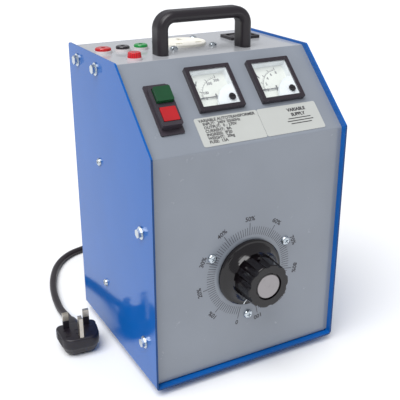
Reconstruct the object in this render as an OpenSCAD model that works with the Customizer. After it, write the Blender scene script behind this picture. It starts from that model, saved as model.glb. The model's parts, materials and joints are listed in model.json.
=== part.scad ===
// Bench variable autotransformer: sheet-metal case with a sloping panel, output
// sockets on top, a panel-mounted toroidal variac and a mains lead with a plug.
// Row frame: X to the right, Y to the back, Z up, origin on the bench under the
// middle of the case with its knob.

/* [Case] */
// Width over the side panels
case_w = 212; // [205:1:270]
// Depth of the side panels
case_d = 194; // [188:1:245]
// Height of the side panels
case_h = 307; // [300:1:380]
// Height of the side panels' front edge, where the slope starts
front_h = 238; // [225:1:250]
// Depth at which the slope meets the top edge
slope_d = 72.5; // [66:0.5:84]
// Thickness of the case's sheet
sheet_t = 2; // [1.5:0.1:2.6]
// Outer radius of the bends between floor and side panels
floor_bend_r = 4; // [3:0.5:8]
// Outer radius of the front panel's folds
fold_r = 3; // [2.7:0.1:5]
// How far the front panel sits behind the side panels' front edges
front_recess = 6; // [4:0.5:9]
// How far the sloping panel sits below the side panels' edges
slope_recess = 6; // [4:0.5:8]
// How far the top sits below the side panels' top edges
top_recess = 2.4; // [1:0.2:4]
// How far the back panel sits inside the side panels' rear edges
back_recess = 6; // [4:0.5:9]
// Depth of the front panel's side flanges
flange_w = 26; // [22:1:32]
// Width of the lips that the back panel is screwed to
lip_w = 14; // [12:1:18]

/* [Fasteners] */
// Thread of the case bolts
bolt_d = 5; // [4:0.5:8]
// Across flats of the case bolts' heads
bolt_af = 8; // [7:0.5:13]
// Head height of the case bolts
bolt_head_h = 3.5; // [2.5:0.5:5.5]
// Outer diameter of the bolts' washers
washer_d = 12.5; // [12:0.5:18]
// Thickness of the bolts' washers
washer_t = 1.2; // [1:0.1:2.5]
// Thread of the pan-head screws
screw_d = 4; // [3:0.5:5]
// Head diameter of the pan-head screws
screw_head_d = 8; // [6.5:0.5:9.5]
// Thread of the screws that carry the variac
dial_screw_d = 5; // [4:0.5:6]

/* [Handle and feet] */
// Distance between the handle's legs
handle_span = 92.4; // [80:0.5:110]
// Height of the handle above the top panel
handle_h = 41; // [38:1:60]
// Thickness of the handle's bar
handle_t = 11.4; // [10:0.2:16]
// Depth of the handle's bar, front to back
handle_w = 21; // [16:1:26]
// Centre-line radius of the handle's bends
handle_bend_r = 12; // [10:1:18]
// Distance of the handle behind the side panels' front edges
handle_y = 101; // [98:1:110]
// Height of the rubber feet
foot_h = 8; // [8:0.5:16]
// Diameter of the rubber feet at the bench
foot_d = 17; // [15:1:24]
// Distance of the feet from the case's edges
foot_inset = 26; // [20:1:34]

/* [Variac] */
// Height of the shaft above the underside of the case
shaft_z = 102.5; // [98:0.5:112]
// Diameter of the shaft
shaft_d = 10; // [8:0.5:12]
// Running clearance of the shaft on the radius
shaft_gap = 0.05; // [0.02:0.01:0.1]
// Pitch circle of the three screws that carry the variac
dial_pcd = 97; // [90:1:104]
// Inner diameter of the core
core_id = 80; // [74:1:92]
// Outer diameter of the core
core_od = 146; // [130:1:158]
// Length of the core along the shaft
core_l = 56; // [46:1:62]
// Thickness of the winding with its insulation
winding_t = 5.5; // [4:0.5:7]
// Angle of the winding round the core
winding_angle = 342; // [336:1:346]
// Turning range of the knob
knob_range = 334; // [320:1:336]
// Mean radius of the brush track
track_r = 57; // [53:1:62]

/* [Knob] */
// Height of the knob's front above the panel
knob_h = 36; // [32:1:44]
// Diameter of the knob's skirt
skirt_d = 70; // [62:1:76]
// Diameter of the fluted grip
grip_d = 47; // [42:1:54]
// Number of flutes
flutes = 10; // [8:1:14]
// Diameter of the cap in the knob's front
cap_d = 25; // [20:1:30]

/* [Meters] */
// Side of the meters' bezels
meter_w = 48; // [44:1:48]
// Height of the bezels above the slope
bezel_h = 5; // [4.5:0.5:8]
// Width of the bezel's rim
bezel_rim = 4; // [3:0.5:4]
// Side of the meters' bodies behind the panel
meter_body_w = 44.4; // [42:0.1:44.5]
// Depth of the meters behind the panel
meter_depth = 50; // [40:1:56]
// Position of the meters' middles up the slope
meter_s = 64.5; // [62:0.5:70]
// Distance of the ammeter's middle from the right side
ammeter_in = 54; // [50:1:60]
// Distance between the meters' middles
meter_pitch = 68.2; // [56:0.2:69]
// Length of the needles
needle_l = 26; // [20:1:27]

/* [Start and stop switch] */
// Width of the switch's plate
switch_w = 23.6; // [22:0.2:28]
// Height of the switch's plate
switch_l = 52.6; // [50:0.2:58]
// Distance of the switch's middle from the left side
switch_in = 32.2; // [28:0.2:36]
// Position of the switch's middle up the slope
switch_s = 49.8; // [46:0.2:52]
// Travel of the two buttons
button_travel = 3; // [2:0.5:4]

/* [Sockets, lamp and outlets] */
// Diameter of the plugs that the test sockets take
plug_d = 4; // [3.6:0.1:4.4]
// Flange diameter of the test sockets
socket_d = 14; // [12:0.5:16]
// Height of the test sockets' heads above their rings
socket_h = 2.7; // [2.5:0.1:6]
// Distance of the sockets behind the side panels' front edges
socket_y = 136; // [132:1:140]
// Diameter of the indicator lamp
lamp_d = 12.6; // [11:0.2:15]
// Distance of the lamp behind the side panels' front edges
lamp_y = 92; // [92:1:104]
// Diameter of the round outlet's face
outlet_d = 45.6; // [45:0.2:50]
// Height of the round outlet's face above the top
outlet_h = 2.6; // [2:0.2:4]
// Distance of the outlets behind the side panels' front edges
outlet_y = 141; // [139:1:144]
// Width of the flat outlet's flange
iec_w = 35.4; // [34:0.2:40]
// Depth of the flat outlet's flange
iec_l = 25; // [24:0.2:30]
// Distance of the flat outlet's middle from the right side
iec_in = 36.3; // [34:0.2:42]

/* [Rating plate] */
// Width of the rating plate
plate_w = 135; // [100:1:140]
// Height of the rating plate
plate_h = 30; // [24:1:32]

/* [Mains lead] */
// Diameter of the lead
cord_d = 8.4; // [7:0.1:9]
// Length of the tapered strain relief outside the case
relief_l = 40; // [30:1:40]

/* [Hidden] */
$fn = 48;
eps = 0.01;
fit = 0.1;
hole_gap = 0.3;
bolt_gap = hole_gap + 0.5;

// Places in the case's frame: x from the middle, y from the side panels' front edges,
// z from the underside of the case
slope_a = atan2(case_h - front_h, slope_d);
top_z = case_h - top_recess;
panel_y = front_recess;
back_y = case_d - back_recess;
mid_y = (case_d + panel_y - knob_h) / 2;
slope_y0 = slope_recess * sin(slope_a);
slope_z0 = front_h - slope_recess * cos(slope_a);
lip_y = back_y - 2 * sheet_t;
bend_gap = max(floor_bend_r - sheet_t, 1) + 0.5;
inner_x = case_w / 2 - sheet_t;

// Bolts and screws of the side panels, as [y, z]
bolt_spots = [[case_d - 25.6, case_h - 13.6], [case_d - 74.8, case_h - 13.6],
    [24.6, front_h - 77.5], [24.6, 43]];
plate_screw_y = case_d - 72.3;
plate_screw_z = [62, 199];
back_screw_z = [26, case_h / 2, case_h - 44];

// Fold corners of the front panel's outer face, as [y, z]
fold_low = [panel_y, slope_z0 + (panel_y - slope_y0) * tan(slope_a)];
fold_high = [slope_y0 + (top_z - slope_z0) / tan(slope_a), top_z];

// Inner plate
inner_plate_t = 1.5;
inner_plate_y = plate_screw_y + 7;
inner_plate_z = [46, 214];

// Variac, along the shaft from the front panel's face (negative is inwards)
boss_l = 6;
base_t = 6;
base_z = -sheet_t - boss_l;
washer_z = base_z - base_t;
coil_z = washer_z - 2;
coil_l = core_l + 2 * winding_t;
coil_ri = core_id / 2 - winding_t;
coil_ro = core_od / 2 + winding_t;
clamp_z = coil_z - coil_l;
clamp_t = 3;
hub_r = 15;
hub_end = clamp_z - clamp_t - 2;
arm_z = clamp_z - 15;
arm_t = 6;
disc_z = arm_z - arm_t - 1;
shaft_end = disc_z - 3;
bush_l = 12;
bush_r = shaft_d / 2 + 3;
stop_r = 30;
brush_rest = -knob_range / 2;

// Knob, along the shaft from the front panel's face
skirt_gap = 1;
skirt_edge = 4.4;
flute_floor = 11.4;
grip_z = 12.5;
cap_t = 3;
shaft_front = knob_h - 11;
grub_r = 2;
grub_z = 19;
grub_turn = 180 - brush_rest + 180 / flutes;

// Meters, in a meter's own frame: x right, y up the slope, z out of the panel
window_w = meter_w - 2 * bezel_rim;
window_top = bezel_h - 0.6;
window_t = 1.2;
scale_top = -3.4;
scale_t = 0.6;
needle_z = -2.2;
pivot = [window_w / 4, -0.18 * window_w];
zero_at = [0.335 * window_w, -0.325 * window_w];
cover_r = 0.54 * window_w;
movement_z = -22;
arbor_r = 0.8;
zero_shank_r = 1.8;

// Start and stop switch, in the switch's own frame
switch_t = 1.6;
frame_w = switch_w - 4;
frame_l = switch_l - 11;
frame_h = 9;
start_y = 10;
stop_y = -9.3;
start_size = [16.4, 15, 13];
stop_size = [15.6, 14.2, 9.6];
stem_r = 3;
stem_l = 5;
switch_depth = 38;

// Top panel
socket_x = [for (d = [15, 35.6, 55]) -case_w / 2 + d];
socket_r = [socket_d / 2 + 1, socket_d / 2, socket_d / 2];
lamp_x = -case_w / 2 + 28.6;
lamp_collar = 2.1;
iec_x = case_w / 2 - iec_in;
ring_h = 2.4;
barrel_r = 5;
outlet_r = outlet_d / 2 - 1.3;
outlet_screw = [22.25, 21.5];
shutter_z = -4.8;
shutter_t = 1.3;
shutter_turn = 32;
shutter_pin_r = 2;
pin_pitch = 22.2;
outlet_depth = 26;
pin_floor = 2.5 - outlet_depth;
earth_slot = [4.8, 8.8];
line_slot = [7.2, 4.8];
earth_well = [5.2, 10.4];
line_well = [7.8, 6.4];
well_shift = 0.5;
strip_t = 0.8;
iec_hole = [28.4, 19.8];
iec_core = [23.8, 15.4];
iec_depth = 24;

// Rating plate
rating_t = 0.5;
rating_x = case_w / 2 - 20 - plate_w / 2;
rating_s = 6 + plate_h / 2;

// Mains lead, in the row frame: x, y, z of the lead's centre line
relief_x = 56;
relief_z = 30;
coil_at = [3.8, 214];
coil_r = 48;
coil_layers = 3;
tie_t = 0.6;
tie_l = 12;
lead_points = [[56, 146, 30], [56, 158, 29.6], [56, 172, 28.2], [56, 186, 25.8], [56, 200, 23.2],
    [56, 214, 21.6]];
trail_points = [[-5.3, 265.4, 4.8], [-24, 262, 4.2], [-43, 258.8, 4.2], [-61, 255, 4.2],
    [-76, 250, 4.2], [-89, 241.5, 4.2], [-100, 230, 4.2], [-110, 215, 4.2], [-118.5, 197, 4.2],
    [-126, 176, 4.2], [-131.5, 154, 4.2], [-135, 132, 4.2], [-136.5, 118, 4.8],
    [-137, 106, 6.2], [-137.2, 95, 8.4], [-137.6, 85, 10.4], [-138.1, 76.8, 11]];
plug_at = [-142.5, 35];
plug_turn = 6;
plug_h = 23;
plug_axis_z = 11;
neck_y = 14;
// x, y and radius of the corners of the plug's face, and of its sole
plug_corners = [[8, -5, 12.5], [15.3, 12.5, 7]];
sole_corners = [[7, -4.5, 9.5], [10.5, 10, 6]];
earth_pin = [4, 8];
line_pin = [6.3, 4];
pin_core = [5.2, 3];
pin_root = 17.1;
earth_pin_l = 22.7;
line_pin_l = 17.7;
sleeve_l = 9.5;

// ---- Helpers -------------------------------------------------------------------

function unit(v) = v / norm(v);

// Points of an outline whose corners are rounded, one radius for each corner
function rounded(points, radii, steps = 5) = [for (i = [0:len(points) - 1])
    let (p = points[i],
        a = unit(points[(i + len(points) - 1) % len(points)] - p),
        b = unit(points[(i + 1) % len(points)] - p),
        half = acos(a * b) / 2)
    each radii[i] == 0 ? [p] :
        let (c = p + unit(a + b) * radii[i] / sin(half),
            d0 = p + a * radii[i] / tan(half) - c,
            d1 = p + b * radii[i] / tan(half) - c,
            sweep = 180 - 2 * half)
        [for (k = [0:steps]) c + (d0 * sin(sweep * (1 - k / steps)) +
            d1 * sin(sweep * k / steps)) / sin(sweep)]];

function box_outline(w, l) = [[-w / 2, -l / 2], [w / 2, -l / 2], [w / 2, l / 2], [-w / 2, l / 2]];

// A rectangle of a [width, length] size, made larger all told by a clearance
function grown(size, gap = 0) = box_outline(size[0] + gap, size[1] + gap);

function rounded_box(w, l, r) = rounded(box_outline(w, l), [r, r, r, r]);

// A path moved sideways, with mitred corners; positive is to the right of its direction
function moved(path, d) = [for (i = [0:len(path) - 1])
    let (a = unit(path[max(i, 1)] - path[max(i, 1) - 1]),
        b = unit(path[min(i + 1, len(path) - 1)] - path[min(i + 1, len(path) - 1) - 1]),
        na = [a[1], -a[0]],
        nb = [b[1], -b[0]])
    path[i] + d * (na + nb) / (1 + na * nb)];

function reversed(list) = [for (i = [len(list) - 1:-1:0]) list[i]];

// A strip of sheet along a path, between two distances to its right
function strip(path, near, far) = concat(moved(path, near), reversed(moved(path, far)));

function tangent(path, i) = unit(
    (i < len(path) - 1 ? unit(path[i + 1] - path[i]) : [0, 0, 0]) +
    (i > 0 ? unit(path[i] - path[i - 1]) : [0, 0, 0]));

// Side directions carried along a path, so that a swept section does not twist
function carried(path, side, i = 0) =
    let (t = tangent(path, i), n = unit(side - t * (side * t)))
    concat([n], i < len(path) - 1 ? carried(path, n, i + 1) : []);

// A round bar swept along a path as one closed solid
module swept(path, r, sides = 10, side = [0, 0, 1]) {
    normals = carried(path, side);
    rings = len(path);
    points = [for (i = [0:rings - 1]) let (t = tangent(path, i), n = normals[i], b = cross(t, n))
        for (k = [0:sides - 1]) path[i] + r * (cos(k * 360 / sides) * n + sin(k * 360 / sides) * b)];
    walls = [for (i = [0:rings - 2]) for (k = [0:sides - 1])
        let (a = i * sides + k, b = i * sides + (k + 1) % sides)
        each [[a, a + sides, b + sides], [a, b + sides, b]]];
    first = [for (k = [0:sides - 1]) k];
    last = [for (k = [sides - 1:-1:0]) (rings - 1) * sides + k];
    polyhedron(points, concat([first], walls, [last]));
}

module in_case() {
    translate([0, -mid_y, foot_h]) children();
}

// An outline drawn as [y, z], made into a sheet across the case
module across(x0, x1) {
    translate([x0, 0, 0]) rotate([90, 0, 90]) linear_extrude(x1 - x0) children();
}

module both_sides() {
    children();
    mirror([1, 0, 0]) children();
}

// Local frames on the case's faces, with z out of the face
module on_side(y, z) {
    translate([case_w / 2, y, z]) rotate([0, 90, 0]) children();
}

module on_front(x, z) {
    translate([x, panel_y, z]) rotate([90, 0, 0]) children();
}

module on_slope(x, s) {
    translate([x, slope_y0 + s * cos(slope_a), slope_z0 + s * sin(slope_a)])
        rotate([slope_a, 0, 0]) children();
}

module on_top(x, y) {
    translate([x, y, top_z]) children();
}

module on_back(x, z) {
    translate([x, back_y, z]) rotate([-90, 0, 0]) children();
}

module on_floor(x, y) {
    translate([x, y, 0]) rotate([180, 0, 0]) children();
}

module at_variac() {
    on_front(0, shaft_z) children();
}

module at_meters() {
    for (x = [case_w / 2 - ammeter_in - meter_pitch, case_w / 2 - ammeter_in])
        on_slope(x, meter_s) children();
}

module at_voltmeter() {
    on_slope(case_w / 2 - ammeter_in - meter_pitch, meter_s) children();
}

module at_ammeter() {
    on_slope(case_w / 2 - ammeter_in, meter_s) children();
}

module at_switch() {
    on_slope(-case_w / 2 + switch_in, switch_s) children();
}

module at_feet() {
    for (x = [-1, 1], y = [foot_inset, back_y - foot_inset])
        on_floor(x * (case_w / 2 - foot_inset), y) children();
}

module at_dial_screws() {
    for (a = [-60, 60, 180]) rotate([0, 0, -a]) translate([0, dial_pcd / 2, 0]) children();
}

module at_plug() {
    translate([plug_at[0], plug_at[1], 0]) rotate([0, 0, -plug_turn]) children();
}

module ring(ro, ri, z0, z1) {
    translate([0, 0, z0]) difference() {
        cylinder(r = ro, h = z1 - z0);
        translate([0, 0, -1]) cylinder(r = ri, h = z1 - z0 + 2);
    }
}

// A hole through a panel whose face is at z = 0
module panel_hole(r, depth = sheet_t) {
    translate([0, 0, -depth - 1]) cylinder(r = r, h = depth + 2);
}

module slab(outline, z0, z1) {
    translate([0, 0, z0]) linear_extrude(z1 - z0) polygon(outline);
}

// ---- Case ----------------------------------------------------------------------

module chassis() {
    outer_r = floor_bend_r;
    inner_r = max(floor_bend_r - sheet_t, 1);
    top = case_h + 1;
    section = concat(
        [[-inner_x, top], [-case_w / 2, top]],
        rounded([[-case_w / 2, top], [-case_w / 2, 0], [case_w / 2, 0], [case_w / 2, top]],
            [0, outer_r, outer_r, 0]),
        [[inner_x, top]],
        rounded([[inner_x, top], [inner_x, sheet_t], [-inner_x, sheet_t], [-inner_x, top]],
            [0, inner_r, inner_r, 0]));
    blank = rounded([[0, 0], [case_d, 0], [case_d, case_h], [slope_d, case_h], [0, front_h]],
        [0, 0, 3, 3, 3]);
    color([0.06, 0.32, 0.63]) in_case() {
        difference() {
            intersection() {
                translate([0, case_d, 0]) rotate([90, 0, 0]) linear_extrude(case_d)
                    polygon(section);
                across(-case_w / 2, case_w / 2) polygon(blank);
            }
            both_sides() {
                for (p = bolt_spots) on_side(p[0], p[1]) panel_hole(bolt_d / 2 + bolt_gap);
                for (z = plate_screw_z) on_side(plate_screw_y, z)
                    panel_hole(screw_d / 2 + hole_gap);
            }
            at_feet() panel_hole(screw_d / 2 + hole_gap);
            for (x = [-60:15:60], y = [case_d * 0.3, case_d * 0.62])
                translate([x - 2, y - 14, -1]) cube([4, 28, sheet_t + 2]);
        }
        both_sides() difference() {
            translate([inner_x - lip_w, lip_y, sheet_t + 2])
                cube([lip_w, sheet_t, case_h - 30 - sheet_t]);
            for (z = back_screw_z) on_back(inner_x - lip_w / 2, z)
                panel_hole(screw_d / 2 + hole_gap, 2 * sheet_t);
        }
    }
}

module front_panel() {
    foot = [foot_inset - screw_d / 2 - 4, sheet_t];
    heel = [panel_y, sheet_t];
    rear = [back_y - sheet_t, top_z];
    path = [foot, heel, fold_low, fold_high, rear];
    flange_path = [[panel_y, 2 * sheet_t + 3], fold_low, fold_high, [lip_y - 1, top_z]];
    inner_r = fold_r - min(sheet_t, fold_r - 0.5);
    outline = rounded(strip(path, 0, sheet_t),
        [0, fold_r, fold_r, fold_r, 0, 0, inner_r, inner_r, inner_r, 0]);
    color([0.58, 0.60, 0.63]) in_case() difference() {
        union() {
            across(-inner_x, inner_x) polygon(outline);
            both_sides() across(inner_x - sheet_t, inner_x)
                polygon(strip(flange_path, sheet_t - eps, flange_w));
        }
        both_sides() {
            for (p = bolt_spots) on_side(p[0], p[1])
                panel_hole(bolt_d / 2 + bolt_gap, 2 * sheet_t);
            translate([inner_x - bend_gap, 0, 0]) cube([bend_gap + 1, case_d, sheet_t + bend_gap]);
        }
        at_variac() {
            panel_hole(bush_r + 1);
            at_dial_screws() panel_hole(dial_screw_d / 2 + hole_gap);
        }
        at_meters() slab(rounded_box(meter_body_w + 0.6, meter_body_w + 0.6, 1), -sheet_t - 1, 1);
        at_switch() slab(rounded_box(switch_w - 3, switch_l - 6, 1), -sheet_t - 1, 1);
        for (x = [-1, 1]) on_top(x * handle_span / 2, handle_y) panel_hole(bolt_d / 2 + bolt_gap);
        for (x = socket_x) on_top(x, socket_y) panel_hole(barrel_r + hole_gap);
        on_top(lamp_x, lamp_y) panel_hole(barrel_r + hole_gap);
        on_top(0, outlet_y) {
            panel_hole(outlet_r + 0.2);
            at_outlet_screws() panel_hole(screw_d / 2 + hole_gap);
        }
        on_top(iec_x, outlet_y + 3) slab(box_outline(iec_hole[0] + 2.8, iec_hole[1] + 2.8),
            -sheet_t - 1, 1);
    }
}

module back_panel() {
    bottom = sheet_t + 0.4;
    top = top_z - 0.2;
    side = inner_x - 0.4;
    blank = rounded([[-side, bottom], [side, bottom], [side, top], [-side, top]],
        [bend_gap, bend_gap, 0, 0]);
    color([0.07, 0.24, 0.48]) in_case() difference() {
        translate([0, back_y, 0]) rotate([90, 0, 0]) linear_extrude(sheet_t) polygon(blank);
        both_sides() for (z = back_screw_z) on_back(inner_x - lip_w / 2, z)
            panel_hole(screw_d / 2 + hole_gap);
        on_back(relief_x, relief_z - foot_h) panel_hole(cord_d / 2 + 4);
        for (x = [-46, 0, 46], z = [case_h * 0.36:11:case_h * 0.72])
            translate([x - 17, back_y - sheet_t - 1, z]) cube([34, sheet_t + 2, 3.6]);
    }
}

// Cross plate between the side panels, behind the variac
module inner_plate() {
    low = inner_plate_z[0];
    height = inner_plate_z[1] - low;
    flange = 2 * (inner_plate_y - plate_screw_y);
    color([0.75, 0.76, 0.77]) in_case() difference() {
        union() {
            translate([-inner_x, inner_plate_y, low]) cube([2 * inner_x, inner_plate_t, height]);
            both_sides() translate([inner_x - inner_plate_t, inner_plate_y - flange, low])
                cube([inner_plate_t, flange + eps, height]);
        }
        both_sides() for (z = plate_screw_z) on_side(plate_screw_y, z)
            panel_hole(screw_d / 2 + hole_gap, sheet_t + inner_plate_t);
        translate([0, inner_plate_y + 5, shaft_z]) rotate([90, 0, 0]) cylinder(r = 7, h = 10);
    }
}

// ---- Fasteners -----------------------------------------------------------------

module hex_bolt(length) {
    cylinder(d = bolt_af / cos(30), h = bolt_head_h, $fn = 6);
    translate([0, 0, -length]) cylinder(r = bolt_d / 2 - fit, h = length + eps);
}

module pan_screw(d, head_d, length) {
    head_h = head_d * 0.34;
    difference() {
        rotate_extrude() polygon(concat([[0, 0]], rounded(
            [[head_d / 2, 0], [head_d / 2, head_h], [0, head_h]], [0, head_h * 0.8, 0], 4)));
        for (a = [0, 90]) rotate([0, 0, a])
            translate([-head_d / 4, -d / 10, head_h * 0.45]) cube([head_d / 2, d / 5, head_h]);
    }
    translate([0, 0, -length]) cylinder(r = d / 2 - fit, h = length + eps);
}

module case_bolts() {
    color([0.80, 0.80, 0.78]) in_case() {
        both_sides() for (p = bolt_spots) on_side(p[0], p[1])
            translate([0, 0, washer_t]) hex_bolt(washer_t + 2 * sheet_t + 6);
        for (x = [-1, 1]) on_top(x * handle_span / 2, handle_y) rotate([180, 0, 0])
            translate([0, 0, sheet_t + washer_t]) hex_bolt(sheet_t + washer_t + 14);
    }
}

module case_washers() {
    color([0.86, 0.86, 0.84]) in_case() {
        both_sides() for (p = bolt_spots) on_side(p[0], p[1])
            ring(washer_d / 2, bolt_d / 2 + 0.2, 0, washer_t);
        for (x = [-1, 1]) on_top(x * handle_span / 2, handle_y)
            ring(washer_d / 2, bolt_d / 2 + 0.2, -sheet_t - washer_t, -sheet_t);
    }
}

module panel_screws() {
    color([0.82, 0.82, 0.80]) in_case() {
        both_sides() {
            for (z = plate_screw_z) on_side(plate_screw_y, z)
                pan_screw(screw_d, screw_head_d, sheet_t + inner_plate_t + 4);
            for (z = back_screw_z) on_back(inner_x - lip_w / 2, z)
                pan_screw(screw_d, screw_head_d, 2 * sheet_t + 4);
        }
        at_feet() translate([0, 0, foot_h / 2 - 1])
            pan_screw(screw_d, screw_head_d, foot_h / 2 - 1 + sheet_t + 4);
        on_top(0, outlet_y) at_outlet_screws()
            pan_screw(screw_d, screw_head_d, sheet_t + 3 + 4);
    }
}

module nut(d, z0, length) {
    difference() {
        translate([0, 0, z0 - length]) cylinder(r = d / 2 + 2.2, h = length);
        panel_hole(d / 2, -z0 + length);
    }
}

// Clinch nuts of the case and the round nuts under the top panel
module nuts() {
    color([0.72, 0.70, 0.62]) in_case() {
        both_sides() {
            for (p = bolt_spots) on_side(p[0], p[1]) nut(bolt_d, -2 * sheet_t, 5);
            for (z = plate_screw_z) on_side(plate_screw_y, z)
                nut(screw_d, -sheet_t - inner_plate_t, 3);
            for (z = back_screw_z) on_back(inner_x - lip_w / 2, z)
                nut(screw_d, -2 * sheet_t, 3);
        }
        at_feet() nut(screw_d, -sheet_t, 3);
        on_top(0, outlet_y) at_outlet_screws() nut(screw_d, -sheet_t - 3, 3);
        for (x = socket_x) on_top(x, socket_y) ring(8, barrel_r + 0.05, -sheet_t - 3, -sheet_t);
        on_top(lamp_x, lamp_y) ring(8, barrel_r + 0.05, -sheet_t - 3, -sheet_t);
    }
}

module rubber_feet() {
    color([0.10, 0.10, 0.11]) in_case() at_feet() difference() {
        cylinder(d1 = foot_d + 3, d2 = foot_d, h = foot_h);
        translate([0, 0, -1]) cylinder(r = screw_d / 2 + 0.2, h = foot_h + 2);
        translate([0, 0, foot_h / 2 - 1]) cylinder(r = screw_head_d / 2 + 0.6, h = foot_h);
    }
}

module handle() {
    straight = handle_h - handle_t / 2 - handle_bend_r;
    section = rounded_box(handle_t, handle_w, handle_t / 2 - 0.1);
    color([0.16, 0.13, 0.15]) in_case() on_top(0, handle_y) {
        both_sides() difference() {
            union() {
                translate([handle_span / 2, 0, 0]) linear_extrude(straight) polygon(section);
                translate([handle_span / 2 - handle_bend_r, 0, straight]) rotate([90, 0, 0])
                    rotate_extrude(angle = 90) translate([handle_bend_r, 0]) polygon(section);
                translate([0, 0, straight + handle_bend_r]) rotate([0, 90, 0])
                    linear_extrude(handle_span / 2 - handle_bend_r) polygon(section);
            }
            translate([handle_span / 2, 0, -1]) cylinder(r = bolt_d / 2, h = 17);
        }
    }
}

// ---- Variac --------------------------------------------------------------------

module variac_base() {
    color([0.66, 0.66, 0.65]) in_case() at_variac() difference() {
        union() {
            at_dial_screws() translate([0, 0, base_z - 1]) cylinder(r = 7.5, h = boss_l + 1);
            translate([0, 0, washer_z]) cylinder(r = 62, h = base_t);
            translate([0, 0, hub_end]) cylinder(r = hub_r, h = base_z - hub_end);
            translate([-24, 50, base_z - 4]) cube([48, coil_ro - 30, 4]);
            translate([0, 0, coil_z]) cylinder(r = coil_ro - 8, h = washer_z - coil_z + 1);
        }
        at_dial_screws() translate([0, 0, washer_z - 3])
            cylinder(r = dial_screw_d / 2, h = 20);
        translate([0, 0, hub_end - 1]) cylinder(r = bush_r + 0.05, h = 200);
    }
}

module shaft_bushes() {
    color([0.70, 0.52, 0.26]) in_case() at_variac() {
        ring(bush_r, shaft_d / 2 + shaft_gap, base_z - bush_l, base_z);
        ring(bush_r, shaft_d / 2 + shaft_gap, hub_end, hub_end + bush_l);
    }
}

module core() {
    color([0.45, 0.44, 0.43]) in_case() at_variac()
        ring(core_od / 2 - fit, core_id / 2 + fit, coil_z - winding_t - core_l + fit,
            coil_z - winding_t - fit);
}

module winding() {
    ri = coil_ri;
    ro = coil_ro;
    edge = winding_t - 1.5;
    color([0.72, 0.38, 0.16]) in_case() at_variac() translate([0, 0, clamp_z])
        rotate([0, 0, -90 + (360 - winding_angle) / 2]) rotate_extrude(angle = winding_angle)
        difference() {
            polygon(rounded([[ri, 0], [ro, 0], [ro, coil_l], [ri, coil_l]],
                [edge, edge, edge, edge]));
            translate([core_id / 2, winding_t]) square([(core_od - core_id) / 2, core_l]);
        }
}

// Plate that holds the coil on the hub, with the end-stop pin
module coil_clamp() {
    color([0.62, 0.62, 0.60]) in_case() at_variac() {
        ring(coil_ri + 9, hub_r + 0.05, clamp_z - clamp_t, clamp_z);
        translate([0, -stop_r, clamp_z - 11]) cylinder(r = 2.5, h = 11);
    }
}

// Board of the variac on its base, and the mains strip on the inner plate
module terminal_boards() {
    color([0.35, 0.20, 0.12]) in_case() {
        at_variac() translate([-24, coil_ro + 3, base_z - 7]) cube([48, 16, 3]);
        for (x = [-18:12:18]) at_variac()
            translate([x, coil_ro + 11, base_z - 13]) cylinder(r = 2.5, h = 6);
        translate([-40, inner_plate_y + inner_plate_t, 160]) cube([80, 14, 18]);
        for (x = [-30:15:30]) translate([x, inner_plate_y + inner_plate_t + 14, 169])
            rotate([-90, 0, 0]) cylinder(r = 3, h = 2);
    }
}

module dial_screws() {
    reach = sheet_t + boss_l + base_t - 1;
    color([0.80, 0.80, 0.78]) in_case() at_variac() at_dial_screws()
        pan_screw(dial_screw_d, 9.5, reach);
}

module shaft() {
    color([0.72, 0.72, 0.72]) in_case() at_variac()
        translate([0, 0, shaft_end]) cylinder(d = shaft_d, h = shaft_front - shaft_end);
}

module knob() {
    skirt_r = skirt_d / 2;
    grip_r = grip_d / 2;
    flute_r = PI * grip_d / flutes * 0.31;
    dish = [for (k = [1:7]) let (u = k / 8)
        [skirt_r - 1.5 + (grip_r + 1.5 - skirt_r) * u,
            skirt_edge + 0.1 + (grip_z - skirt_edge - 0.6) * pow(u, 1.8)]];
    profile = concat([[0, skirt_gap], [skirt_r, skirt_gap], [skirt_r, skirt_edge - 1],
        [skirt_r - 1.2, skirt_edge]], dish,
        rounded([[grip_r, grip_z], [grip_r - 1, knob_h], [cap_d / 2 + 1.5, knob_h]],
            [0, 1.4, 0]), [[cap_d / 2 + 1.5, knob_h - cap_t], [0, knob_h - cap_t]]);
    color([0.13, 0.13, 0.15]) in_case() at_variac() difference() {
        rotate_extrude() polygon(profile);
        for (i = [0:flutes - 1]) rotate([0, 0, (i + 0.5) * 360 / flutes - brush_rest])
            translate([0, grip_r + flute_r * 0.35, flute_floor]) cylinder(r = flute_r, h = knob_h);
        translate([0, 0, -1]) cylinder(r = shaft_d / 2 + fit / 2, h = shaft_front + 1.2);
        rotate([0, 0, grub_turn]) translate([0, 0, grub_z])
            rotate([-90, 0, 0]) cylinder(r = grub_r + fit / 2, h = skirt_r);
    }
}

module knob_cap() {
    color([0.69, 0.66, 0.66]) in_case() at_variac()
        translate([0, 0, knob_h - cap_t + 0.05]) rotate_extrude() polygon(concat([[0, 0]],
            rounded([[cap_d / 2, 0], [cap_d / 2, cap_t - 0.5], [0, cap_t - 0.5]],
            [0, 0.8, 0], 3)));
}

module knob_screw() {
    color([0.66, 0.62, 0.50]) in_case() at_variac()
        rotate([0, 0, grub_turn]) translate([0, 0, grub_z])
        rotate([-90, 0, 0]) difference() {
            translate([0, 0, shaft_d / 2 + 0.05]) cylinder(r = grub_r, h = 9);
            translate([-1.5, -0.3, shaft_d / 2 + 8]) cube([3, 0.6, 2]);
        }
}

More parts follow.
